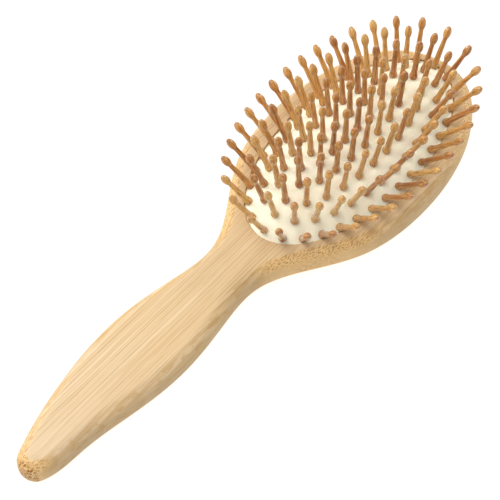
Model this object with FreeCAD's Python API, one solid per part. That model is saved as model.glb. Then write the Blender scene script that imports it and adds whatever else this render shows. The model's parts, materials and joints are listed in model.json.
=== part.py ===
import FreeCAD, Part
import math
import os

# Oval paddle brush lying on its back: bamboo body, domed rubber cushion, turned wooden pins.
# Millimetres. +X runs from the handle to the head, +Z is the way the pins point. While it is built, x = 0 is the
# middle of the pin field and z = 0 is the face of the brush. PLACE_X and THICKNESS then move the whole brush, so
# that the origin is the middle of its footprint, on the surface under its back.

Vector = FreeCAD.Vector
UP = Vector(0, 0, 1)

# Body
LENGTH = 240.0
HEAD_END = 60.0
TIP_END = HEAD_END - LENGTH
THICKNESS = 12.2
FACE_ROUND = 5.0
BACK_ROUND = 5.0
# Outline from the head's end to the handle's tip: x, half width, and how far the middle lies towards +Y.
# The handle was shaped by hand, so it swells a little more on its +Y side.
OUTLINE = [
    (48.5, 22.6, 0.0),
    (29.0, 32.4, 0.0),
    (-5.0, 36.6, 0.0),
    (-31.0, 31.5, 0.0),
    (-50.0, 20.4, 0.0),
    (-69.0, 11.5, 0.3),
    (-90.0, 13.0, 0.8),
    (-115.0, 15.8, 1.5),
    (-140.0, 13.4, 2.1),
    (-158.0, 10.2, 1.6),
]
# The handle's tip is a round nose
NOSE_R = 6.6
NOSE_POINTS = 3
NOSE_TURN = math.radians(25.0)

# Pocket for the cushion, an oval cut into the face
POCKET_X = -0.2
POCKET_HALF_LENGTH = 54.6
POCKET_HALF_WIDTH = 27.7
POCKET_DEPTH = 6.6
GROOVE_REACH = 1.2
GROOVE_TOP = -2.4
GROOVE_BOTTOM = -4.8

# Cushion: a dome whose height depends on the distance in from its rim
DOME_EDGE = -0.9
DOME_RISE = 9.9
RUBBER = 1.5
SKIRT_THICKNESS = 1.0
CUSHION_GAP = 0.12
DOME_STEP = 5.5
DOME_MARGIN = 3.0

# Pins: radius and height along the pin's axis, measured from the top of the rubber
HEAD_R = 1.45
HEAD_BOTTOM = -3.7
HEAD_TOP = -2.1
HEAD_ROUND = 0.6
NECK_R = 0.85
HOLE_R = 0.92
FOOT_START = 0.12
FOOT_R = 1.6
FOOT_HEIGHT = 0.85
SHAFT_LOW_R = 1.18
SHAFT_LOW = 3.4
SHAFT_TOP_R = 0.92
SHAFT_TOP = 13.6
BULB_R = 1.62
BULB_HEIGHT = 16.5
PIN_TOP = 18.8

# Rings of pins, from the rim inwards: name, pins, half length, half width, shift in X, and how far from upright
# the pins lean at the ring's two ends and at its two sides, in degrees
RINGS = [
    ("a", 34, 51.8, 24.9, 0.0, 27.0, 45.0),
    ("b", 28, 45.1, 19.8, -0.5, 16.0, 25.5),
    ("c", 22, 38.4, 13.5, -1.1, 9.0, 10.7),
    ("d", 16, 30.0, 6.5, -1.6, 5.8, 4.9),
]
RING_SQUARENESS = 2.1
CENTRE_PINS = 6
CENTRE_PITCH = 7.5
CENTRE_SHIFT = -1.2
RING_STEPS = 720

# Where the footprint's middle is: between the handle's tip and the tip of the last pin over the head's end
END_RING = RINGS[0]
END_LEAN = math.radians(END_RING[5])


def bulb_reach(lean):
    """How far past its root a leaning pin's bulb reaches, measured sideways."""
    steps = [i * math.pi / 180 for i in range(91)]
    length = PIN_TOP - BULB_HEIGHT
    points = [(BULB_R * math.cos(s), BULB_HEIGHT + length * math.sin(s)) for s in steps]
    return max(h * math.sin(lean) + r * math.cos(lean) for r, h in points)


PLACE_X = -(TIP_END + END_RING[2] + END_RING[4] + bulb_reach(END_LEAN)) / 2


def outline_wire():
    """The body's outline on the face: one closed smooth curve through both sides' points."""
    turns = [NOSE_TURN * i for i in range(NOSE_POINTS, 0, -1)]
    nose = [(TIP_END + NOSE_R * (1 - math.cos(turn)), NOSE_R * math.sin(turn), 0.0) for turn in turns]
    stations = OUTLINE + nose
    left = [Vector(x, middle + half, 0) for x, half, middle in stations]
    right = [Vector(x, middle - half, 0) for x, half, middle in reversed(stations)]
    points = [Vector(HEAD_END, 0, 0)] + left + [Vector(TIP_END, 0, 0)] + right
    curve = Part.BSplineCurve()
    curve.interpolate(Points=points, PeriodicFlag=True)
    return Part.Wire([curve.toShape()])


def oval(grow, z, height):
    """An upright oval prism on the pocket's centre, grow wider all round than the pocket."""
    centre = Vector(POCKET_X, 0, z)
    ellipse = Part.Ellipse(centre, POCKET_HALF_LENGTH + grow, POCKET_HALF_WIDTH + grow)
    face = Part.Face(Part.Wire([ellipse.toShape()]))
    return face.extrude(UP * height)


def edges_at(shape, z):
    """The shape's edges that lie flat at height z."""
    tolerance = 1e-6
    return [e for e in shape.Edges if abs(e.BoundBox.ZMin - z) < tolerance and abs(e.BoundBox.ZMax - z) < tolerance]


def brush_body():
    board = Part.Face(outline_wire()).extrude(UP * -THICKNESS)
    board = board.makeFillet(FACE_ROUND, edges_at(board, 0.0))
    board = board.makeFillet(BACK_ROUND, edges_at(board, -THICKNESS))
    pocket = oval(0.0, -POCKET_DEPTH, POCKET_DEPTH + 1.0)
    groove = oval(GROOVE_REACH, GROOVE_BOTTOM, GROOVE_TOP - GROOVE_BOTTOM)
    return board.cut(pocket).cut(groove)


def distance_in(x, y):
    """How far in from the pocket's rim a point is: the t for which it lies on the oval that is t smaller."""
    x = abs(x - POCKET_X)
    y = abs(y)
    low = -2.0 * DOME_MARGIN
    high = POCKET_HALF_WIDTH
    for _ in range(50):
        t = (low + high) / 2
        long_part = x / (POCKET_HALF_LENGTH - t)
        wide_part = y / max(POCKET_HALF_WIDTH - t, 1e-9)
        if long_part**2 + wide_part**2 < 1:
            low = t
        else:
            high = t
    return low


def dome_height(x, y):
    """The height of the top of the rubber over the face."""
    out = 1.0 - distance_in(x, y) / POCKET_HALF_WIDTH
    return DOME_EDGE + DOME_RISE * (1.0 - out**2)


def spread(half, middle):
    """Evenly spaced places across the dome, past both of its edges."""
    reach = half + DOME_MARGIN
    count = 2 * math.ceil(reach / DOME_STEP)
    return [middle + reach * (2 * i / count - 1) for i in range(count + 1)]


def membrane():
    """The domed sheet of rubber, before its holes."""
    columns = spread(POCKET_HALF_LENGTH, POCKET_X)
    rows = spread(POCKET_HALF_WIDTH, 0.0)
    surface = Part.BSplineSurface()
    surface.interpolate([[Vector(x, y, dome_height(x, y)) for y in rows] for x in columns])
    slab = surface.toShape().extrude(UP * -RUBBER)
    return slab.common(oval(-CUSHION_GAP, GROOVE_BOTTOM, 2 * DOME_RISE))


def skirt():
    """The short wall under the membrane's edge, and the flange at its foot that sits in the groove."""
    bottom = GROOVE_BOTTOM + CUSHION_GAP
    wall = oval(-CUSHION_GAP, bottom, DOME_EDGE - RUBBER / 2 - bottom)
    flange_height = GROOVE_TOP - GROOVE_BOTTOM - 2 * CUSHION_GAP
    flange = oval(GROOVE_REACH - CUSHION_GAP, bottom, flange_height)
    hollow = oval(-CUSHION_GAP - SKIRT_THICKNESS, bottom - 1.0, DOME_RISE)
    return wall.fuse(flange).cut(hollow)


def cushion(pins):
    """The rubber with a hole for each pin's neck."""
    holes = [Part.makeCylinder(HOLE_R, -2 * HEAD_BOTTOM, root + lean * HEAD_BOTTOM, lean) for root, lean in pins]
    return membrane().fuse(skirt()).cut(holes)


def pin_profile():
    """Half of a pin's section, from the middle of its retained head to the top of its bulb."""
    underside = Vector(HEAD_R - HEAD_ROUND, 0, HEAD_BOTTOM)
    corner = Vector(HEAD_R - HEAD_ROUND * (1 - math.sqrt(0.5)), 0, HEAD_BOTTOM + HEAD_ROUND * (1 - math.sqrt(0.5)))
    side = Vector(HEAD_R, 0, HEAD_BOTTOM + HEAD_ROUND)
    head_top = Vector(HEAD_R, 0, HEAD_TOP)
    neck_low = Vector(NECK_R, 0, HEAD_TOP)
    neck_high = Vector(NECK_R, 0, FOOT_START)
    foot_edge = Vector(FOOT_R, 0, FOOT_HEIGHT)
    foot_top = Vector(SHAFT_LOW_R, 0, SHAFT_LOW)
    shaft_top = Vector(SHAFT_TOP_R, 0, SHAFT_TOP)
    bulb_side = Vector(BULB_R, 0, BULB_HEIGHT)
    top = Vector(0, 0, PIN_TOP)
    # the flared foot runs hollow-sided into the shaft, and the bulb is an egg with its blunt end up
    foot = Part.BSplineCurve()
    foot.interpolate(Points=[foot_edge, foot_top], Tangents=[Vector(-0.1, 0, 1), Vector(-0.04, 0, 1)])
    bulb = Part.BSplineCurve()
    bulb.interpolate(Points=[shaft_top, bulb_side, top], Tangents=[Vector(0.1, 0, 1), UP, Vector(-1, 0, 0)])
    bottom = Vector(0, 0, HEAD_BOTTOM)
    edges = [
        Part.makeLine(bottom, underside),
        Part.Arc(underside, corner, side).toShape(),
        Part.makeLine(side, head_top),
        Part.makeLine(head_top, neck_low),
        Part.makeLine(neck_low, neck_high),
        Part.makeLine(neck_high, foot_edge),
        foot.toShape(),
        Part.makeLine(foot_top, shaft_top),
        bulb.toShape(),
        Part.makeLine(top, bottom),
    ]
    return Part.Face(Part.Wire(edges))


def make_pin():
    return pin_profile().revolve(Vector(0, 0, 0), UP, 360)


def ring_places(count, half_length, half_width):
    """Points round an oval ring, evenly spaced along it, from its handle end."""
    power = 2 / RING_SQUARENESS
    loop = []
    for i in range(RING_STEPS + 1):
        angle = 2 * math.pi * i / RING_STEPS
        c = math.cos(angle)
        s = math.sin(angle)
        loop.append((-half_length * math.copysign(abs(c) ** power, c), half_width * math.copysign(abs(s) ** power, s)))
    along = [0.0]
    for (x0, y0), (x1, y1) in zip(loop, loop[1:]):
        along.append(along[-1] + math.hypot(x1 - x0, y1 - y0))
    places = []
    step = 0
    for k in range(count):
        target = along[-1] * k / count
        while along[step + 1] < target:
            step += 1
        part = (target - along[step]) / (along[step + 1] - along[step])
        (x0, y0), (x1, y1) = loop[step], loop[step + 1]
        places.append((x0 + part * (x1 - x0), y0 + part * (y1 - y0)))
    return places


def ring_pins(ring):
    """Each pin's root on the rubber and its direction."""
    name, count, half_length, half_width, shift, end_lean, side_lean = ring
    pins = []
    for x, y in ring_places(count, half_length, half_width):
        lean_x = math.tan(math.radians(end_lean)) * x / half_length
        lean_y = math.tan(math.radians(side_lean)) * y / half_width
        root = Vector(x + shift, y, dome_height(x + shift, y))
        pins.append((root, Vector(lean_x, lean_y, 1).normalize()))
    return pins


def centre_pins():
    pins = []
    for i in range(CENTRE_PINS):
        x = CENTRE_SHIFT + CENTRE_PITCH * (i - (CENTRE_PINS - 1) / 2)
        pins.append((Vector(x, 0, dome_height(x, 0)), UP))
    return pins


def placed_pin(pin, root, lean):
    copy = pin.copy()
    copy.Placement = FreeCAD.Placement(root, FreeCAD.Rotation(UP, lean))
    return copy


def write(name, shape):
    placed = shape.copy()
    placed.translate(Vector(PLACE_X, 0, THICKNESS))
    placed.exportStep("parts/" + name + ".step")
    print(name, "solids", len(placed.Solids), "valid", placed.isValid(), "volume", round(placed.Volume, 1))


def main():
    os.makedirs("parts", exist_ok=True)
    groups = {ring[0]: ring_pins(ring) for ring in RINGS}
    groups["centre"] = centre_pins()
    write("brush_body", brush_body())
    write("cushion", cushion([place for group in groups.values() for place in group]))
    pin = make_pin()
    for name, pins in groups.items():
        half = len(pins) // 2
        # each node holds a pin and the one half way round the ring, or half way along the row, from it
        for i in range(half):
            pair = [placed_pin(pin, *pins[i]), placed_pin(pin, *pins[i + half])]
            write("pins_" + name + "_" + str(i + 1).zfill(2), Part.makeCompound(pair))


main()
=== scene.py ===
import json
import math
import random

import bmesh
import bpy
import numpy as np
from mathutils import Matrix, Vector
from mathutils.geometry import delaunay_2d_cdt


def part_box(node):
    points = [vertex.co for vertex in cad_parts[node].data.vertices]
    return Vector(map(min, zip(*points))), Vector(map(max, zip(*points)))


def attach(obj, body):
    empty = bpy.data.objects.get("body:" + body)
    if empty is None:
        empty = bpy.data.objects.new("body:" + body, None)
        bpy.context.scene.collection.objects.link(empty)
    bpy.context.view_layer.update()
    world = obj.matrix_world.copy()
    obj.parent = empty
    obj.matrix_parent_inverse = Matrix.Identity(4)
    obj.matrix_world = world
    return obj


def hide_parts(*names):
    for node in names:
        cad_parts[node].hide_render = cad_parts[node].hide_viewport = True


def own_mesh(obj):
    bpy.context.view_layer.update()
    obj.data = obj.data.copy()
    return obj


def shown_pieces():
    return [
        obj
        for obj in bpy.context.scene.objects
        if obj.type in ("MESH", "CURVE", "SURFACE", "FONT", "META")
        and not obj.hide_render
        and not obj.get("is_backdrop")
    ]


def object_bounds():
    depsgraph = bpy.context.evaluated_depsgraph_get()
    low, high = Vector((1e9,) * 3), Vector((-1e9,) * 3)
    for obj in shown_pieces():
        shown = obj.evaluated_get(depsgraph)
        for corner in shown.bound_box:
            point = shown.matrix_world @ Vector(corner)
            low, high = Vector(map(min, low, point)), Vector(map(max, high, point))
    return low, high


# An oval paddle brush, in metres: a bamboo body, an ivory rubber cushion and turned wooden pins.

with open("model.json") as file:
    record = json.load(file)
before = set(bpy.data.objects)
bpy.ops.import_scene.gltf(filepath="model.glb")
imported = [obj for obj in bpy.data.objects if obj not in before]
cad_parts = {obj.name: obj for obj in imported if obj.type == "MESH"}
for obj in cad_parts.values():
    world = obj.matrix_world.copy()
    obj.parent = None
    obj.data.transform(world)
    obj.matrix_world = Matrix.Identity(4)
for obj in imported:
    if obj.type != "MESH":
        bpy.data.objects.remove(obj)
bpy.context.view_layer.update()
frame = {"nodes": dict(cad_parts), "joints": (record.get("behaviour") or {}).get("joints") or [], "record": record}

MM = 0.001
MM_IN_M = (1000, 1000, 1000)
SEED = 20
LEVEL = 1e-5
SAME_POINT = 1e-9
MICRON_DECIMALS = 6

# Body: heights are measured from the face, and insets from the outline or the pocket's wall
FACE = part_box("brush_body")[1].z
FACE_ROUND = 5.0 * MM
BACK_ROUND = 5.0 * MM
RIM_ROUND = 0.3 * MM
GROOVE_REACH = 1.2 * MM
GROOVE_TOP = -2.4 * MM
GROOVE_BOTTOM = -4.8 * MM
POCKET_DEPTH = 6.6 * MM
OUTLINE_STEPS = 720
SPLINE_STEPS = 24
OVAL_STEPS = 360
ROUND_STEPS = 12
SHARP = math.radians(40)

# Cushion: the joint's record says where its rim is held and how far it is pressed
PRESS_JOINT = next(j for j in frame["joints"] if "deforming_nodes" in j)
RIM_HEIGHT = PRESS_JOINT["deforming_nodes"][0]["fixed_end_z_m"]
DOME_EDGE = RIM_HEIGHT - FACE
DOME_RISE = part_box("cushion")[1].z - RIM_HEIGHT
CUSHION_GAP = 0.12 * MM
RUBBER = 1.5 * MM
LIP_ROUND = 0.45 * MM
SKIRT_THICKNESS = 1.0 * MM
SKIRT_GAP = 0.15 * MM
SKIRT_BOTTOM = -4.68 * MM
FLANGE_TOP = -2.52 * MM
FLANGE_REACH = 1.08 * MM
DOME_RINGS = 76
DOME_STEPS = 480
DIMPLE_DEPTH = 0.4 * MM
DIMPLE_WIDTH = 2.5 * MM
DIMPLE_EDGE = 4

# Pins: each ring's sink is how far it goes down with a full press, and the profile is radius and height in
# millimetres along the axis, from the top of the rubber
SINKS = {joint["child"]: -joint["range_m"][0] for joint in frame["joints"]}
PIN_STEPS = 28
PIN_TOP = 18.8
PIN_PROFILE = [
    (0.0, -3.7), (0.9, -3.68), (1.38, -3.3), (1.42, -2.2), (1.3, -2.1), (0.9, -2.05), (0.85, -1.9),
    (0.85, -0.7), (1.0, -0.5), (1.34, -0.35), (1.55, 0.1), (1.6, 0.7), (1.53, 1.35), (1.34, 2.1),
    (1.19, 3.0), (1.14, 5.0), (1.08, 7.5), (1.01, 10.0), (0.94, 12.4), (0.93, 13.2), (1.06, 13.9),
    (1.32, 14.6), (1.49, 15.4), (1.53, 16.1), (1.44, 16.9), (1.2, 17.7), (0.82, 18.35),
    (0.42, 18.7), (0.0, 18.82),
]
PROFILE_STEPS = 3
FOOT_ENDS = 3.4
BULB_STARTS = 13.0
PIN_GAP = 0.1 * MM
PIN_GAP_GROWS = 1.6
AXIS_PASSES = 4

# How much the pins differ: spreads of their size, their roundness and their lean in radians, and of the place
# in the wood that each is cut from, in millimetres
SHAFT_SPREAD = 0.025
BULB_SPREAD = 0.03
FOOT_SPREAD = 0.03
OVAL_SPREAD = 0.012
LEAN_SPREAD = 0.012
GRAIN_SPREAD = 50


# Meshes

def new_object(name, data):
    piece = bpy.data.objects.new(name, data)
    bpy.context.scene.collection.objects.link(piece)
    return piece


def mesh_object(name, points, faces):
    """A smooth-shaded piece, with its faces turned outwards and its sharp edges kept."""
    mesh = bpy.data.meshes.new(name)
    mesh.from_pydata([tuple(p) for p in points], [], faces)
    edit = bmesh.new()
    edit.from_mesh(mesh)
    bmesh.ops.recalc_face_normals(edit, faces=edit.faces)
    edit.to_mesh(mesh)
    edit.free()
    mesh.polygons.foreach_set("use_smooth", [True] * len(mesh.polygons))
    mesh.set_sharp_from_angle(angle=SHARP)
    return new_object(name, mesh)


def between_rings(lower, upper, count):
    """Quads between two closed rings, given by the numbers of their first points."""
    ahead = [(i + 1) % count for i in range(count)]
    return [(lower + i, lower + ahead[i], upper + ahead[i], upper + i) for i in range(count)]


def stack_faces(start, rings, count):
    """Quads that join a stack of rings, from the point numbered start."""
    faces = []
    for k in range(rings - 1):
        faces += between_rings(start + k * count, start + (k + 1) * count, count)
    return faces


def node_points(node):
    """A node's points in the frame."""
    mesh = frame["nodes"][node].data
    points = np.empty(len(mesh.vertices) * 3)
    mesh.vertices.foreach_get("co", points)
    return points.reshape(-1, 3)


def quarter(radius):
    """How far in and how far down each step of a quarter round is, from the flat to the upright."""
    turns = np.linspace(0, np.pi / 2, ROUND_STEPS + 1)
    return [(radius * (1 - math.sin(t)), radius * (1 - math.cos(t))) for t in turns]


# The body's outline and pocket, taken from the frame

def closed_spline(points, count):
    """Evenly spaced points on the smooth closed curve through the given points."""
    steps = np.linalg.norm(np.roll(points, -1, axis=0) - points, axis=1)
    total = len(points)
    system = np.zeros((total, total))
    sides = np.zeros((total, 2))
    for i in range(total):
        j = (i + 1) % total
        system[i, i - 1] = steps[i - 1]
        system[i, i] = 2 * (steps[i - 1] + steps[i])
        system[i, j] = steps[i]
        sides[i] = 6 * ((points[j] - points[i]) / steps[i] - (points[i] - points[i - 1]) / steps[i - 1])
    bends = np.linalg.solve(system, sides)
    fine = []
    for i in range(total):
        j = (i + 1) % total
        for b in np.linspace(0, 1, SPLINE_STEPS, endpoint=False):
            a = 1 - b
            bend = (a**3 - a) * bends[i] + (b**3 - b) * bends[j]
            fine.append(a * points[i] + b * points[j] + bend * steps[i] ** 2 / 6)
    fine = np.array(fine + fine[:1])
    along = np.concatenate([[0], np.cumsum(np.linalg.norm(np.diff(fine, axis=0), axis=1))])
    places = np.linspace(0, along[-1], count, endpoint=False)
    return np.stack([np.interp(places, along, fine[:, k]) for k in range(2)], axis=1)


def body_outline():
    """The body's widest outline, anticlockwise from the tip of the handle."""
    points = node_points("brush_body")
    level = points[np.abs(points[:, 2] - BACK_ROUND) < LEVEL][:, :2]
    level = np.unique(np.round(level, MICRON_DECIMALS), axis=0)
    lower = level[level[:, 1] < 0]
    upper = level[level[:, 1] >= 0]
    loop = np.concatenate([lower[np.argsort(lower[:, 0])], upper[np.argsort(-upper[:, 0])]])
    return closed_spline(loop, OUTLINE_STEPS)


def outward(loop):
    """The level directions that point out of an anticlockwise loop."""
    ahead = np.roll(loop, -1, axis=0) - np.roll(loop, 1, axis=0)
    ahead /= np.linalg.norm(ahead, axis=1)[:, None]
    return np.stack([ahead[:, 1], -ahead[:, 0]], axis=1)


def pocket_oval():
    """The pocket's centre, and its half length and half width, from its floor in the frame."""
    points = node_points("brush_body")
    floor = points[np.abs(points[:, 2] - (FACE - POCKET_DEPTH)) < LEVEL][:, :2]
    low = floor.min(axis=0)
    high = floor.max(axis=0)
    return (low + high) / 2, (high - low) / 2


POCKET_CENTRE, POCKET_HALF = pocket_oval()


def oval_ring(grow, z, count):
    """A level ring round the pocket's centre, grow wider all round than the pocket."""
    turns = np.linspace(0, 2 * np.pi, count, endpoint=False)
    x = POCKET_CENTRE[0] + (POCKET_HALF[0] + grow) * np.cos(turns)
    y = POCKET_CENTRE[1] + (POCKET_HALF[1] + grow) * np.sin(turns)
    return np.stack([x, y, np.full(count, FACE + z)], axis=1)


def is_inside(point, loop):
    """Whether a point lies inside a closed loop, by counting the loop's sides to its right."""
    ahead = np.roll(loop, -1, axis=0)
    spans = (loop[:, 1] > point[1]) != (ahead[:, 1] > point[1])
    a = loop[spans]
    b = ahead[spans]
    crossings = a[:, 0] + (point[1] - a[:, 1]) / (b[:, 1] - a[:, 1]) * (b[:, 0] - a[:, 0])
    return np.count_nonzero(crossings > point[0]) % 2 == 1


def face_triangles(points, start):
    """The flat face, between the first ring of the outline and the first ring of the pocket's rim."""
    outer = points[:OUTLINE_STEPS, :2]
    rim = points[start:start + OVAL_STEPS, :2]
    flat = [Vector(p) for p in np.concatenate([outer, rim])]
    edges = [(i, (i + 1) % OUTLINE_STEPS) for i in range(OUTLINE_STEPS)]
    edges += [(OUTLINE_STEPS + i, OUTLINE_STEPS + (i + 1) % OVAL_STEPS) for i in range(OVAL_STEPS)]
    _, _, triangles, origins, _, _ = delaunay_2d_cdt(flat, edges, [], 0, SAME_POINT)
    numbers = [o[0] if o[0] < OUTLINE_STEPS else start + o[0] - OUTLINE_STEPS for o in origins]
    kept = []
    for triangle in triangles:
        corners = [numbers[i] for i in triangle]
        middle = points[corners, :2].mean(axis=0)
        place = (middle - POCKET_CENTRE) / (POCKET_HALF + RIM_ROUND)
        if place @ place > 1 and is_inside(middle, outer):
            kept.append(tuple(corners))
    return kept


def make_body():
    """The bamboo body, every edge rounded, with the pocket and groove that hold the cushion."""
    loop = body_outline()
    out = outward(loop)
    sides = []
    for inset, drop in quarter(FACE_ROUND):
        sides.append(np.column_stack([loop - out * inset, np.full(OUTLINE_STEPS, FACE - drop)]))
    for inset, drop in reversed(quarter(BACK_ROUND)):
        sides.append(np.column_stack([loop - out * inset, np.full(OUTLINE_STEPS, drop)]))
    walls = [oval_ring(inset, -drop, OVAL_STEPS) for inset, drop in quarter(RIM_ROUND)]
    ledges = [(0, GROOVE_TOP), (GROOVE_REACH, GROOVE_TOP), (GROOVE_REACH, GROOVE_BOTTOM),
              (0, GROOVE_BOTTOM), (0, -POCKET_DEPTH)]
    walls += [oval_ring(grow, z, OVAL_STEPS) for grow, z in ledges]
    points = np.concatenate(sides + walls)
    start = len(sides) * OUTLINE_STEPS
    back = start - OUTLINE_STEPS
    floor = len(points) - OVAL_STEPS
    faces = stack_faces(0, len(sides), OUTLINE_STEPS) + stack_faces(start, len(walls), OVAL_STEPS)
    faces.append(tuple(range(back, back + OUTLINE_STEPS)))
    faces.append(tuple(range(floor, floor + OVAL_STEPS)))
    faces += face_triangles(points, start)
    return mesh_object("bamboo_body", points, faces)


# Cushion

def dome_rings(shares, lowered):
    """Rings of the dome from its rim inwards. Each is the oval that the rubber's height is the same along."""
    rings = []
    for share in shares:
        inset = POCKET_HALF[1] * (1 - share)
        height = DOME_EDGE + DOME_RISE * (1 - share**2) - lowered
        rings.append(oval_ring(-inset, height, DOME_STEPS))
    return rings


def dimple(points, roots):
    """Presses the rubber in a little round every pin."""
    for root in roots:
        away = np.linalg.norm(points[:, :2] - root[:2], axis=1)
        points[:, 2] -= DIMPLE_DEPTH * np.exp(-(away / DIMPLE_WIDTH) ** DIMPLE_EDGE)


def make_dome(roots):
    """The domed sheet of rubber with its rounded lip, from the middle of its underside round to its crest."""
    lip = 1 - (CUSHION_GAP + LIP_ROUND) / POCKET_HALF[1]
    shares = np.linspace(lip, 0, DOME_RINGS, endpoint=False)
    under = dome_rings(shares[::-1], RUBBER)
    over = dome_rings(shares, 0)
    lip_height = DOME_EDGE + DOME_RISE * (1 - lip**2)
    edge = [oval_ring(-CUSHION_GAP, lip_height - RUBBER, DOME_STEPS)]
    for inset, drop in reversed(quarter(LIP_ROUND)[1:]):
        edge.append(oval_ring(-CUSHION_GAP - inset, lip_height - drop, DOME_STEPS))
    rings = under + edge + over
    points = np.concatenate(rings)
    dimple(points, roots)
    faces = stack_faces(0, len(rings), DOME_STEPS)
    faces.append(tuple(range(DOME_STEPS)))
    faces.append(tuple(range(len(points) - DOME_STEPS, len(points))))
    return mesh_object("cushion_dome", points, faces)


def make_skirt():
    """The wall under the dome's edge, and the flange at its foot that is held in the groove."""
    inner = -CUSHION_GAP - SKIRT_THICKNESS
    outer = -SKIRT_GAP
    top = DOME_EDGE - RUBBER / 2
    section = [(inner, top), (inner, SKIRT_BOTTOM), (FLANGE_REACH, SKIRT_BOTTOM),
               (FLANGE_REACH, FLANGE_TOP), (outer, FLANGE_TOP), (outer, top)]
    points = np.concatenate([oval_ring(grow, z, OVAL_STEPS) for grow, z in section])
    last = (len(section) - 1) * OVAL_STEPS
    faces = stack_faces(0, len(section), OVAL_STEPS) + between_rings(last, 0, OVAL_STEPS)
    return mesh_object("cushion_skirt", points, faces)


# Pins

def pin_axes(node):
    """The root and direction of each of a node's two pins, from its points in the frame."""
    points = node_points(node)
    level = points[:, :2] - points[:, :2].mean(axis=0)
    _, _, across = np.linalg.svd(level, full_matrices=False)
    side = level @ across[0] > 0
    axes = []
    for pin in (points[side], points[~side]):
        direction = np.array([0.0, 0.0, 1.0])
        for _ in range(AXIS_PASSES):
            along = pin @ direction
            apex = pin[np.argmax(along)]
            foot = pin[along < along.min() + LEVEL * 2].mean(axis=0)
            direction = (apex - foot) / np.linalg.norm(apex - foot)
        axes.append((apex - direction * PIN_TOP * MM, direction))
    return axes


def smooth_profile():
    """The pin's half section, filled in with a Catmull-Rom curve through its points."""
    given = np.array(PIN_PROFILE)
    fine = []
    for k in range(len(given) - 1):
        before = given[max(k - 1, 0)]
        after = given[min(k + 2, len(given) - 1)]
        for t in np.linspace(0, 1, PROFILE_STEPS, endpoint=False):
            bend = (given[k + 1] - before) * t
            bend += (2 * before - 5 * given[k] + 4 * given[k + 1] - after) * t**2
            bend += (3 * given[k] - before - 3 * given[k + 1] + after) * t**3
            fine.append(given[k] + bend / 2)
    fine.append(given[-1])
    return np.array(fine)


def pin_shape(profile, rng):
    """One pin's points about its own axis in millimetres, each pin turned a little differently."""
    shaft = 1 + rng.gauss(0, SHAFT_SPREAD)
    bulb = 1 + rng.gauss(0, BULB_SPREAD)
    foot = 1 + rng.gauss(0, FOOT_SPREAD)
    oval = 1 + rng.gauss(0, OVAL_SPREAD)
    turns = np.linspace(0, 2 * np.pi, PIN_STEPS, endpoint=False) + rng.uniform(0, math.tau)
    points = []
    for radius, height in profile[1:-1]:
        scale = foot if height < FOOT_ENDS else bulb if height > BULB_STARTS else shaft
        x = radius * scale * oval * np.cos(turns)
        y = radius * scale / oval * np.sin(turns)
        points.append(np.stack([x, y, np.full(PIN_STEPS, height)], axis=1))
    return np.concatenate(points)


def pin_frame(direction, rng):
    """The three axes of a pin, tilted a little from its direction in the frame."""
    tilt = Vector((rng.gauss(0, LEAN_SPREAD), rng.gauss(0, LEAN_SPREAD), 0))
    up = (Vector(direction) + tilt).normalized()
    side = up.orthogonal().normalized()
    return np.array([side, up.cross(side), up])


def clear_of_wall(points, sink):
    """Draws in the low points of a pin that would meet the pocket's wall when the pin has sunk."""
    above = np.maximum(points[:, 2] - sink - FACE, 0)
    room = POCKET_HALF - PIN_GAP + above[:, None] * PIN_GAP_GROWS
    away = points[:, :2] - POCKET_CENTRE
    reach = np.linalg.norm(away / room, axis=1)
    points[:, :2] = POCKET_CENTRE + away / np.maximum(reach, 1)[:, None]
    return points


def make_pin_pair(node, sink, profile, rng):
    """The two turned wooden pins that stand for one node."""
    points = []
    places = []
    tints = []
    faces = []
    rings = len(profile) - 2
    for root, direction in pin_axes(node):
        start = len(points) * rings * PIN_STEPS
        shape = pin_shape(profile, rng)
        axes = pin_frame(direction, rng)
        points.append(clear_of_wall(root + shape @ axes * MM, sink))
        offset = [rng.uniform(-GRAIN_SPREAD, GRAIN_SPREAD), rng.uniform(-GRAIN_SPREAD, GRAIN_SPREAD), 0]
        places.append(shape + np.array(offset))
        tints.append(np.full(len(shape), rng.random()))
        faces += stack_faces(start, rings, PIN_STEPS)
        faces.append(tuple(range(start, start + PIN_STEPS)))
        faces.append(tuple(range(start + (rings - 1) * PIN_STEPS, start + rings * PIN_STEPS)))
    piece = mesh_object(node.replace("pins", "pin_pair"), np.concatenate(points), faces)
    tint = piece.data.attributes.new("pin_tint", "FLOAT", "POINT")
    tint.data.foreach_set("value", np.concatenate(tints))
    place = piece.data.attributes.new("pin_place", "FLOAT_VECTOR", "POINT")
    place.data.foreach_set("vector", np.concatenate(places).ravel())
    return piece


# Materials. Their places are in millimetres.

# Bamboo: strips are glued side by side, and the fibres in them wander a little
STRIP_WIDTH = 2.6
STRIP_UNEVEN = 0.8
STRIP_OFFSET = 40.0
FIBRE_WANDER = 1.6
LAYER_WANDER = 4.0
LINE_SPACING = 1.5
BUNDLES_PER_MM = 1.0
FIBRES_PER_MM = 2.0
STRIP_TONES = [(0.0, (0.63, 0.455, 0.255)), (0.4, (0.65, 0.48, 0.28)),
               (0.7, (0.67, 0.505, 0.305)), (1.0, (0.64, 0.465, 0.265))]
CLOUD_TONE = (0.64, 0.42, 0.20, 1)
BROAD_TONE = (0.71, 0.56, 0.355, 1)
HANDLE_END_TONE = (0.66, 0.54, 0.40, 1)
HANDLE_END = -105.0
HANDLE_MIDDLE = -40.0
DENSE_TONE = (0.50, 0.30, 0.11, 1)
STREAK_TONE = (0.48, 0.31, 0.135, 1)
LINE_TONE = (0.40, 0.235, 0.085, 1)
WHITE = (1, 1, 1, 1)
# Painted shade: the body's sides are multiplied down to this tone, by how far their surface turns from upright
PAINTED_SIDE_SHADE = (0.82, 0.77, 0.64, 1)
PATCH_TONE = (0.46, 0.275, 0.095, 1)
ROUND_TONE = (0.76, 0.49, 0.19, 1)
END_TONE = (0.78, 0.51, 0.22, 1)
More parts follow.
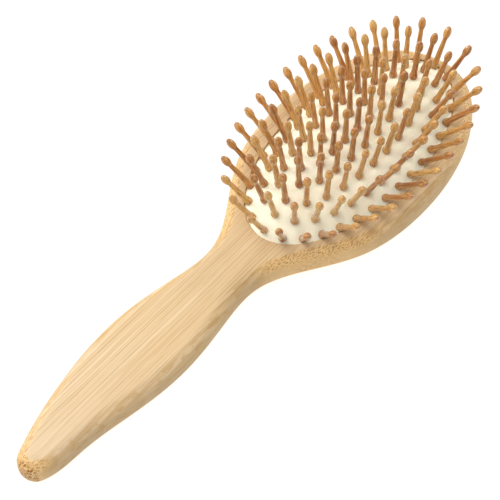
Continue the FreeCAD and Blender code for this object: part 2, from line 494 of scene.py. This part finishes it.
BUNDLE_TONE = (0.30, 0.12, 0.018, 1)
FIBRE_TONE = (0.33, 0.15, 0.035, 1)
SEAM_TONE = (0.36, 0.20, 0.08, 1)
JUST_OVER_ONE = 1.02

# Rubber
IVORY = (0.94, 0.88, 0.68, 1)
PALE_IVORY = (0.97, 0.92, 0.74, 1)
DUSKY_IVORY = (0.88, 0.79, 0.58, 1)

# Pin wood: the tones go from the darkest pin to the palest
PIN_TONES = [(0.0, (0.28, 0.086, 0.015)), (0.35, (0.43, 0.172, 0.032)),
             (0.7, (0.55, 0.28, 0.062)), (1.0, (0.68, 0.43, 0.135))]
WARM_TONE = (0.60, 0.21, 0.045, 1)
GRAIN_TONE = (0.75, 0.47, 0.15, 1)
PORE_TONE = (0.25, 0.08, 0.013, 1)
PIN_END_TONE = (0.27, 0.11, 0.035, 1)

FLOOR_TONE = (0.82, 0.82, 0.82, 1)


class Shader:
    """Builds one material's nodes. A value given for an input may be a number, a colour or another output."""

    def __init__(self, name):
        self.material = bpy.data.materials.new(name)
        self.material.use_nodes = True
        self.tree = self.material.node_tree
        self.surface = self.tree.nodes["Principled BSDF"]

    def put(self, node, inputs):
        for key, value in inputs.items():
            socket = node.inputs[key]
            if isinstance(value, bpy.types.NodeSocket):
                self.tree.links.new(value, socket)
            else:
                socket.default_value = value

    def add(self, kind, inputs, **settings):
        node = self.tree.nodes.new("ShaderNode" + kind)
        for key, value in settings.items():
            setattr(node, key, value)
        self.put(node, inputs)
        return node

    def math(self, operation, *values):
        return self.add("Math", dict(enumerate(values)), operation=operation).outputs[0]

    def times(self, first, *others):
        """The product of two or more values."""
        for other in others:
            first = self.math("MULTIPLY", first, other)
        return first

    def split(self, vector):
        """A vector's three parts."""
        return list(self.add("SeparateXYZ", {0: vector}).outputs)

    def channels(self, colour):
        """A colour's three channels."""
        return list(self.add("SeparateColor", {0: colour}).outputs)

    def join(self, *values):
        return self.add("CombineXYZ", dict(enumerate(values))).outputs[0]

    def stretch(self, vector, scale):
        inputs = {0: vector, 1: scale}
        return self.add("VectorMath", inputs, operation="MULTIPLY").outputs[0]

    def noise(self, vector, per_mm, detail=4.0, rough=0.6, w=None):
        """Noise as fine along each axis as per_mm says."""
        inputs = {"Vector": self.stretch(vector, per_mm), "Scale": 1.0, "Detail": detail, "Roughness": rough}
        if w is None:
            return self.add("TexNoise", inputs).outputs[0]
        inputs["W"] = w
        return self.add("TexNoise", inputs, noise_dimensions="4D").outputs[0]

    def bands(self, w, uneven, feature="F1"):
        """Uneven bands across a line, about one for each whole number."""
        inputs = {"W": w, "Randomness": uneven, "Scale": 1.0}
        return self.add("TexVoronoi", inputs, voronoi_dimensions="1D", feature=feature)

    def spots(self, section, per_mm):
        """Scattered spots over a section."""
        return self.add("TexVoronoi", {"Vector": section, "Scale": per_mm}, voronoi_dimensions="2D")

    def between(self, value, low, high, out_low=0.0, out_high=1.0):
        """Goes smoothly from out_low to out_high as the value goes from low to high."""
        inputs = {"Value": value, "From Min": low, "From Max": high, "To Min": out_low, "To Max": out_high}
        return self.add("MapRange", inputs, interpolation_type="SMOOTHSTEP").outputs[0]

    def falling(self, value, low, high):
        return self.between(value, low, high, 1.0, 0.0)

    def mix(self, share, low, high, blend="MIX"):
        node = self.add("Mix", {0: share, 6: low, 7: high}, data_type="RGBA", blend_type=blend)
        return node.outputs[2]

    def layers(self, colour, layers):
        """The colour with each layer's tone laid over it by the layer's share."""
        for share, tone in layers:
            colour = self.mix(share, colour, tone)
        return colour

    def ramp(self, value, stops):
        node = self.add("ValToRGB", {0: value})
        places = node.color_ramp.elements
        while len(places) < len(stops):
            places.new(0.5)
        for element, (place, colour) in zip(places, stops):
            element.position = place
            element.color = (*colour, 1)
        return node.outputs[0]

    def bump(self, height, distance, strength=1.0, under=None):
        inputs = {"Height": height, "Distance": distance, "Strength": strength}
        if under is not None:
            inputs["Normal"] = under
        return self.add("Bump", inputs).outputs[0]


class Grain:
    """Where a point of the bamboo lies among its fibres, which run along X, and how its surface is turned."""

    def __init__(self, s):
        coords = s.add("TexCoord", {})
        facing = s.split(coords.outputs["Normal"])
        self.end_on = s.math("ABSOLUTE", facing[0])
        self.upright = s.math("ABSOLUTE", facing[2])
        self.place = s.stretch(coords.outputs["Object"], MM_IN_M)
        self.along, side, height = s.split(self.place)
        wander = s.math("SUBTRACT", s.noise(self.place, (0.012, 0.05, 0.05), 2.0), 0.5)
        self.across = s.math("ADD", side, s.times(wander, FIBRE_WANDER))
        self.straight = s.join(self.along, self.across, height)
        rise = s.noise(self.place, (0.025, 0.1, 0.1), 2.0)
        self.section = s.join(self.across, s.math("ADD", height, s.times(rise, LAYER_WANDER)))
        self.on_face = s.between(self.upright, 0.45, 0.95)


def bamboo_strips(s, grain):
    """The glued strips: each one's own tone and offset, its denser side, and the dark seams between them."""
    w = s.math("DIVIDE", grain.across, STRIP_WIDTH)
    strips = s.bands(w, STRIP_UNEVEN)
    edges = s.bands(w, STRIP_UNEVEN, "DISTANCE_TO_EDGE")
    tone, offset, depth = s.channels(strips.outputs["Color"])
    denser = s.between(s.math("SUBTRACT", w, strips.outputs["W"]), -0.12, 0.2)
    seam = s.times(s.falling(edges.outputs["Distance"], 0.0, 0.05), s.between(depth, 0.3, 0.9, 0.1, 0.6))
    return tone, offset, denser, s.times(seam, grain.on_face)


def bamboo_lines(s, grain):
    """Thin dark lines along the fibres, which come and go."""
    edges = s.bands(s.math("DIVIDE", grain.across, LINE_SPACING), 1.0, "DISTANCE_TO_EDGE")
    shown = s.noise(grain.straight, (0.03, 0.7, 0.7), 2.0)
    return s.times(s.falling(edges.outputs["Distance"], 0.03, 0.12), s.between(shown, 0.4, 0.65))


def bamboo_dots(s, grain):
    """The fibre bundles and the finer fibres, as dots where they are cut across."""
    bundles = s.spots(grain.section, BUNDLES_PER_MM)
    fibres = s.spots(grain.section, FIBRES_PER_MM)
    own = s.channels(bundles.outputs["Color"])[0]
    bundle = s.times(s.falling(bundles.outputs["Distance"], 0.3, 0.52), s.between(own, 0.1, 0.8, 0.4, 1.0))
    return bundle, s.falling(fibres.outputs["Distance"], 0.14, 0.38)


def bamboo_cut_rounds(s, grain):
    """Where the rounded edges cut across the fibres, as they do wherever the outline turns away from X."""
    square = s.times(grain.upright, grain.upright)
    level = s.math("SQRT", s.math("SUBTRACT", JUST_OVER_ONE, square))
    turned = s.between(s.math("DIVIDE", grain.end_on, level), 0.1, 0.4)
    return s.times(turned, s.between(grain.upright, 0.3, 0.6), s.falling(grain.upright, 0.96, 0.995))


def bamboo_wood(s, grain, streak, line):
    """The colour along the fibres: strips, clouds, streaks and thin lines, with painted shade that darkens the
    sides.
    """
    tone, offset, denser, seam = bamboo_strips(s, grain)
    cloud = s.noise(grain.place, (0.03, 0.07, 0.07), 2.0)
    broad = s.noise(grain.straight, (0.006, 0.9, 0.9), 3.0, w=s.times(offset, STRIP_OFFSET))
    mottle = s.noise(grain.straight, (0.14, 0.4, 0.4), 3.0)
    on_round = s.times(s.between(grain.upright, 0.3, 0.7), s.falling(grain.upright, 0.9, 1.0))
    colour = s.layers(s.ramp(tone, STRIP_TONES), [
        (s.between(cloud, 0.4, 0.75, 0.0, 0.3), CLOUD_TONE),
        (s.between(broad, 0.4, 0.65, 0.0, 0.2), BROAD_TONE),
        (s.between(grain.along, HANDLE_END, HANDLE_MIDDLE, 0.35, 0.0), HANDLE_END_TONE),
        (s.times(denser, s.math("ADD", s.times(on_round, 0.4), 0.08)), DENSE_TONE),
        (s.times(s.between(streak, 0.47, 0.63), s.between(grain.on_face, 0.0, 1.0, 0.18, 0.34)), STREAK_TONE),
        (s.times(line, grain.on_face, 0.75), LINE_TONE),
    ])
    # Painted shade: the less upright the surface, the more its colour is multiplied down, standing in for the
    # shade on the sides
    side = s.mix(s.falling(grain.upright, 0.1, 0.9), WHITE, PAINTED_SIDE_SHADE)
    colour = s.mix(1.0, colour, side, "MULTIPLY")
    patch = s.times(s.between(mottle, 0.48, 0.6, 0.0, 0.5), s.falling(grain.upright, 0.85, 0.98))
    return s.mix(patch, colour, PATCH_TONE), seam


def bamboo():
    """Laminated bamboo: narrow strips of straight fibres, each strip denser towards one side. The fibres run
    along X in bundles, so they show as thin streaks on the face and as dots where the body is cut across."""
    s = Shader("bamboo")
    grain = Grain(s)
    streak = s.noise(grain.straight, (0.025, 1.3, 1.3), rough=0.7)
    line = bamboo_lines(s, grain)
    bundle, fibre = bamboo_dots(s, grain)
    cut_round = bamboo_cut_rounds(s, grain)
    end_face = s.between(grain.end_on, 0.42, 0.75)
    speckle = s.math("MAXIMUM", s.times(cut_round, 0.75), end_face)
    wood, seam = bamboo_wood(s, grain, streak, line)
    colour = s.layers(wood, [
        (s.times(cut_round, 0.6), ROUND_TONE),
        (s.times(s.between(grain.end_on, 0.08, 0.6), 0.8), END_TONE),
        (s.times(bundle, s.between(end_face, 0.0, 1.0, 0.08, 1.0)), BUNDLE_TONE),
        (s.times(fibre, s.between(speckle, 0.0, 1.0, 0.06, 1.0)), FIBRE_TONE),
        (seam, SEAM_TONE),
    ])
    dents = s.math("ADD", s.times(line, 0.6), s.times(bundle, 0.6))
    fine_relief = s.bump(fibre, distance=0.02 * MM, strength=0.3)
    relief = s.bump(s.math("SUBTRACT", 1.0, dents), distance=0.05 * MM, strength=0.6, under=fine_relief)
    rough = s.between(streak, 0.3, 0.7, 0.42, 0.56)
    s.put(s.surface, {"Base Color": colour, "Roughness": rough, "Normal": relief, "Specular IOR Level": 0.35})
    return s.material


def rubber():
    """Matt ivory rubber, faintly mottled."""
    s = Shader("ivory_rubber")
    place = s.stretch(s.add("TexCoord", {}).outputs["Object"], MM_IN_M)
    cloud = s.noise(place, (0.06, 0.06, 0.06), 3.0)
    grain = s.noise(place, (5.0, 5.0, 5.0))
    colour = s.mix(s.between(cloud, 0.3, 0.7), IVORY, PALE_IVORY)
    colour = s.mix(s.between(grain, 0.45, 0.8, 0.0, 0.15), colour, DUSKY_IVORY)
    relief = s.bump(grain, distance=0.03 * MM, strength=0.5)
    rough = s.between(grain, 0.3, 0.7, 0.5, 0.64)
    s.put(s.surface, {"Base Color": colour, "Roughness": rough, "Normal": relief, "Specular IOR Level": 0.4,
                      "Subsurface Weight": 0.15, "Subsurface Scale": 0.002})
    return s.material


def pin_ends(s, place):
    """Darker end grain, uneven, at the pin's tip and round the bottom of its foot."""
    height = s.split(place)[2]
    ends = s.math("MAXIMUM", s.between(height, 17.4, 18.7), s.falling(height, 0.2, 1.6))
    uneven = s.noise(place, (4.0, 4.0, 4.0), 3.0)
    return s.times(ends, s.between(uneven, 0.3, 0.7, 0.2, 0.65))


def pin_wood():
    """Turned wood: straight grain up the pin, darker end grain at its tip, and each pin its own tone."""
    s = Shader("turned_wood")
    tint = s.add("Attribute", {}, attribute_name="pin_tint").outputs["Fac"]
    place = s.add("Attribute", {}, attribute_name="pin_place").outputs["Vector"]
    grain = s.noise(place, (1.1, 1.1, 0.07), rough=0.65)
    pores = s.noise(place, (2.4, 2.4, 0.25), 3.0)
    warmth = s.noise(place, (0.5, 0.5, 0.12), 2.0)
    turning = s.noise(place, (0.2, 0.2, 7.0), 2.0)
    colour = s.layers(s.ramp(tint, PIN_TONES), [
        (s.between(warmth, 0.45, 0.65, 0.0, 0.5), WARM_TONE),
        (s.between(grain, 0.42, 0.62, 0.0, 0.55), GRAIN_TONE),
        (s.between(pores, 0.47, 0.66, 0.0, 0.7), PORE_TONE),
        (pin_ends(s, place), PIN_END_TONE),
    ])
    turned = s.bump(turning, distance=0.03 * MM, strength=0.35)
    relief = s.bump(pores, distance=0.03 * MM, strength=0.5, under=turned)
    rough = s.between(pores, 0.3, 0.7, 0.4, 0.55)
    s.put(s.surface, {"Base Color": colour, "Roughness": rough, "Normal": relief, "Specular IOR Level": 0.3,
                      "Coat Weight": 1.0, "Coat Roughness": 0.1})
    return s.material


def floor_paint():
    """Plain matt paint."""
    s = Shader("pale_floor")
    s.put(s.surface, {"Base Color": FLOOR_TONE, "Roughness": 0.9, "Specular IOR Level": 0.1})
    return s.material


# The object

def finish_piece(piece, material, body, node):
    """Gives a piece its material and its body, and hides the node that it stands for."""
    piece.data.materials.append(material)
    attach(piece, body)
    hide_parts(node)


def build_object():
    """Every piece of the brush, on its body."""
    bodies = frame["record"]["behaviour"]["bodies"]
    held = [(body, node) for body, nodes in bodies.items() for node in nodes]
    pin_nodes = [(body, node) for body, node in held if node.startswith("pins_")]
    roots = [root for _, node in pin_nodes for root, _ in pin_axes(node)]
    wood = pin_wood()
    ivory = rubber()
    profile = smooth_profile()
    rng = random.Random(SEED)
    finish_piece(make_body(), bamboo(), "brush", "brush_body")
    dome = make_dome(roots)
    finish_piece(dome, ivory, "brush", "cushion")
    finish_piece(make_skirt(), ivory, "brush", "cushion")
    for body, node in pin_nodes:
        finish_piece(make_pin_pair(node, SINKS[body], profile, rng), wood, body, node)
    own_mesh(dome)


# Floor, light and camera: each lamp has a name, place, size, power and colour, in metres and watts, and the
# camera's aim and place are in millimetres

FLOOR_HALF = 3.0
SKY = (1.0, 0.99, 0.97, 1)
SKY_STRENGTH = 0.53
LAMP_AIM = (0.02, 0, 0.02)
LAMPS = [
    ("key", (-0.15, 0.6, 1.3), 1.0, 7.7, (1.0, 0.985, 0.96)),
    ("rim", (-0.1, 1.2, 0.5), 0.5, 7.5, (1.0, 0.985, 0.95)),
    ("head_rim", (1.2, -0.2, 0.6), 0.4, 5.4, (1.0, 0.985, 0.95)),
    ("fill", (-0.45, 0.05, 1.2), 1.0, 6.3, (1.0, 1.0, 1.0)),
]
FLOOR_LAMP_PLACE = (0, 0, 2.0)
FLOOR_LAMP_SIZE = 2.5
FLOOR_LAMP_POWER = 50.0
SENSOR_WIDTH = 36.0
LENS = 119.5
CAMERA_AIM = (-3.5, -2.1, -6.0)
CAMERA_PLACE = (-262.2, -223.9, 503.2)


def make_floor():
    """A plain pale floor under the brush."""
    h = FLOOR_HALF
    floor = mesh_object("floor", [(-h, -h, 0), (h, -h, 0), (h, h, 0), (-h, h, 0)], [(0, 1, 2, 3)])
    floor.data.materials.append(floor_paint())
    floor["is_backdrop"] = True
    return floor


def aim(thing, target):
    """Turns a lamp or a camera to look at a target."""
    thing.rotation_euler = (Vector(target) - thing.location).to_track_quat("-Z", "Y").to_euler()


def lit_group(name, pieces):
    group = bpy.data.collections.new(name)
    for piece in pieces:
        group.objects.link(piece)
    return group


def area_light(name, place, target, size, power, colour, lit):
    """A round lamp that lights only the pieces in one group."""
    data = bpy.data.lights.new(name, "AREA")
    data.shape = "DISK"
    data.size = size
    data.energy = power
    data.color = colour
    lamp = new_object(name, data)
    lamp.location = place
    aim(lamp, target)
    lamp.light_linking.receiver_collection = lit
    return data


def make_light(floor):
    """A soft studio: the key comes from beyond the brush's left side, and the floor has a lamp of its own."""
    world = bpy.data.worlds.new("studio")
    world.use_nodes = True
    background = world.node_tree.nodes["Background"]
    background.inputs["Color"].default_value = SKY
    background.inputs["Strength"].default_value = SKY_STRENGTH
    bpy.context.scene.world = world
    lit_brush = lit_group("lit_brush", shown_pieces())
    for name, place, size, power, colour in LAMPS:
        area_light(name, place, LAMP_AIM, size, power, colour, lit_brush)
    lit_floor = lit_group("lit_floor", [floor])
    floor_lamp = area_light("floor_lamp", FLOOR_LAMP_PLACE, (0, 0, 0), FLOOR_LAMP_SIZE, FLOOR_LAMP_POWER,
                            WHITE[:3], lit_floor)
    floor_lamp.use_shadow = False
    bpy.context.scene.view_settings.view_transform = "Standard"


def make_camera():
    """The camera stands over the handle's side of the brush and looks down along it."""
    low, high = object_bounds()
    target = (Vector(low) + Vector(high)) / 2 + Vector(CAMERA_AIM) * MM
    data = bpy.data.cameras.new("camera")
    data.sensor_width = SENSOR_WIDTH
    data.lens = LENS
    camera = new_object("camera", data)
    camera.location = target + Vector(CAMERA_PLACE) * MM
    aim(camera, target)
    bpy.context.scene.camera = camera


build_object()
make_light(make_floor())
make_camera()
